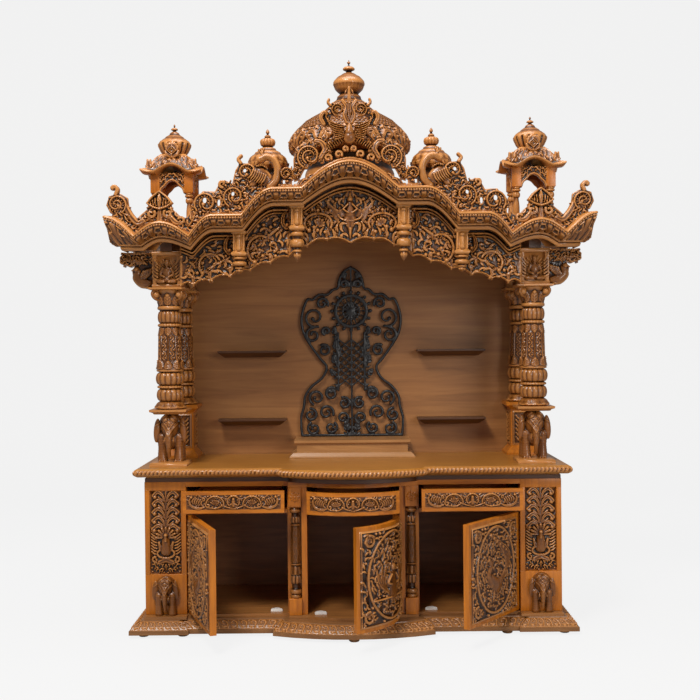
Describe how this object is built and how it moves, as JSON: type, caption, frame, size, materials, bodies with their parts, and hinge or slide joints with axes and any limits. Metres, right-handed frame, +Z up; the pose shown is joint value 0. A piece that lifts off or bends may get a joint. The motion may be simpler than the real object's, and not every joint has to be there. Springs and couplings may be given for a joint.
{
  "type": "carved wooden home temple cabinet",
  "caption": "Carved wooden home temple: domed and pillared canopy with a black openwork screen, over a counter and a cupboard with hinged doors and drawers.",
  "frame": {"origin": "on the floor, at the middle of the area under the whole object, doors as they stand open", "axes": "+Z up, front towards -Y, +X to the right as seen from the front"},
  "size_m": [2.044, 0.967, 2.489],
  "materials": {
    "carved_wood": "satin varnish over golden brown carved wood",
    "plain_wood": "satin varnish, straight grain",
    "wall_wood": "dull brown veneer, grain across",
    "black_paint": "satin black",
    "white_plastic": "moulded white"
  },
  "bodies": {
    "cabinet": {"arch_centre": "carved_wood", "arch_left": "carved_wood", "arch_right": "carved_wood", "arch_side_left": "carved_wood", "arch_side_right": "carved_wood", "back_panel": "wall_wood", "baluster_left": "carved_wood", "baluster_right": "carved_wood", "base_plinth": "carved_wood", "cabinet_back": "plain_wood", "cabinet_floor": "plain_wood", "cabinet_side_left": "plain_wood", "cabinet_side_right": "plain_wood", "canopy_board": "plain_wood", "carved_screen": "black_paint", "chhatri_left": "carved_wood", "chhatri_right": "carved_wood", "corner_post_left": "carved_wood", "corner_post_right": "carved_wood", "counter_top": "carved_wood", "crest_centre": "carved_wood", "crest_left": "carved_wood", "crest_right": "carved_wood", "door_catch_centre": "white_plastic", "door_catch_left": "white_plastic", "door_catch_right": "white_plastic", "drawer_shelf_centre": "plain_wood", "drawer_shelf_left": "plain_wood", "drawer_shelf_right": "plain_wood", "eave_cornice": "carved_wood", "elephant_pedestal_left": "carved_wood", "elephant_pedestal_right": "carved_wood", "front_pillar_left": "carved_wood", "front_pillar_right": "carved_wood", "main_dome": "carved_wood", "partition_left": "plain_wood", "partition_right": "plain_wood", "rear_pedestal_left": "carved_wood", "rear_pedestal_right": "carved_wood", "rear_pillar_left": "carved_wood", "rear_pillar_right": "carved_wood", "small_dome_left": "carved_wood", "small_dome_right": "carved_wood", "stepped_plinth": "plain_wood", "top_rail": "carved_wood", "wall_shelf_lower_left": "plain_wood", "wall_shelf_lower_right": "plain_wood", "wall_shelf_upper_left": "plain_wood", "wall_shelf_upper_right": "plain_wood"},
    "left_door": {"door_left": "carved_wood"},
    "centre_door": {"door_centre": "carved_wood"},
    "right_door": {"door_right": "carved_wood"},
    "left_drawer": {"drawer_left": "carved_wood"},
    "centre_drawer": {"drawer_centre": "carved_wood"},
    "right_drawer": {"drawer_right": "carved_wood"}
  },
  "joints": [
    {"name": "left_door_hinge", "type": "hinge", "parent": "cabinet", "child": "left_door", "pos_m": [-0.69, -0.09752, 0.295], "axis": [0, 0, -1], "range_deg": [-70, 30]},
    {"name": "centre_door_hinge", "type": "hinge", "parent": "cabinet", "child": "centre_door", "pos_m": [0.178, -0.1507, 0.295], "axis": [0, 0, 1], "range_deg": [-62, 33]},
    {"name": "right_door_hinge", "type": "hinge", "parent": "cabinet", "child": "right_door", "pos_m": [0.69, -0.09752, 0.295], "axis": [0, 0, 1], "range_deg": [-53, 42]},
    {"name": "left_drawer_slide", "type": "slide", "parent": "cabinet", "child": "left_drawer", "axis": [0, -1, 0], "range_m": [-0.122, 0.08]},
    {"name": "centre_drawer_slide", "type": "slide", "parent": "cabinet", "child": "centre_drawer", "axis": [0, -1, 0], "range_m": [-0.122, 0.08]},
    {"name": "right_drawer_slide", "type": "slide", "parent": "cabinet", "child": "right_drawer", "axis": [0, -1, 0], "range_m": [-0.122, 0.08]}
  ]
}
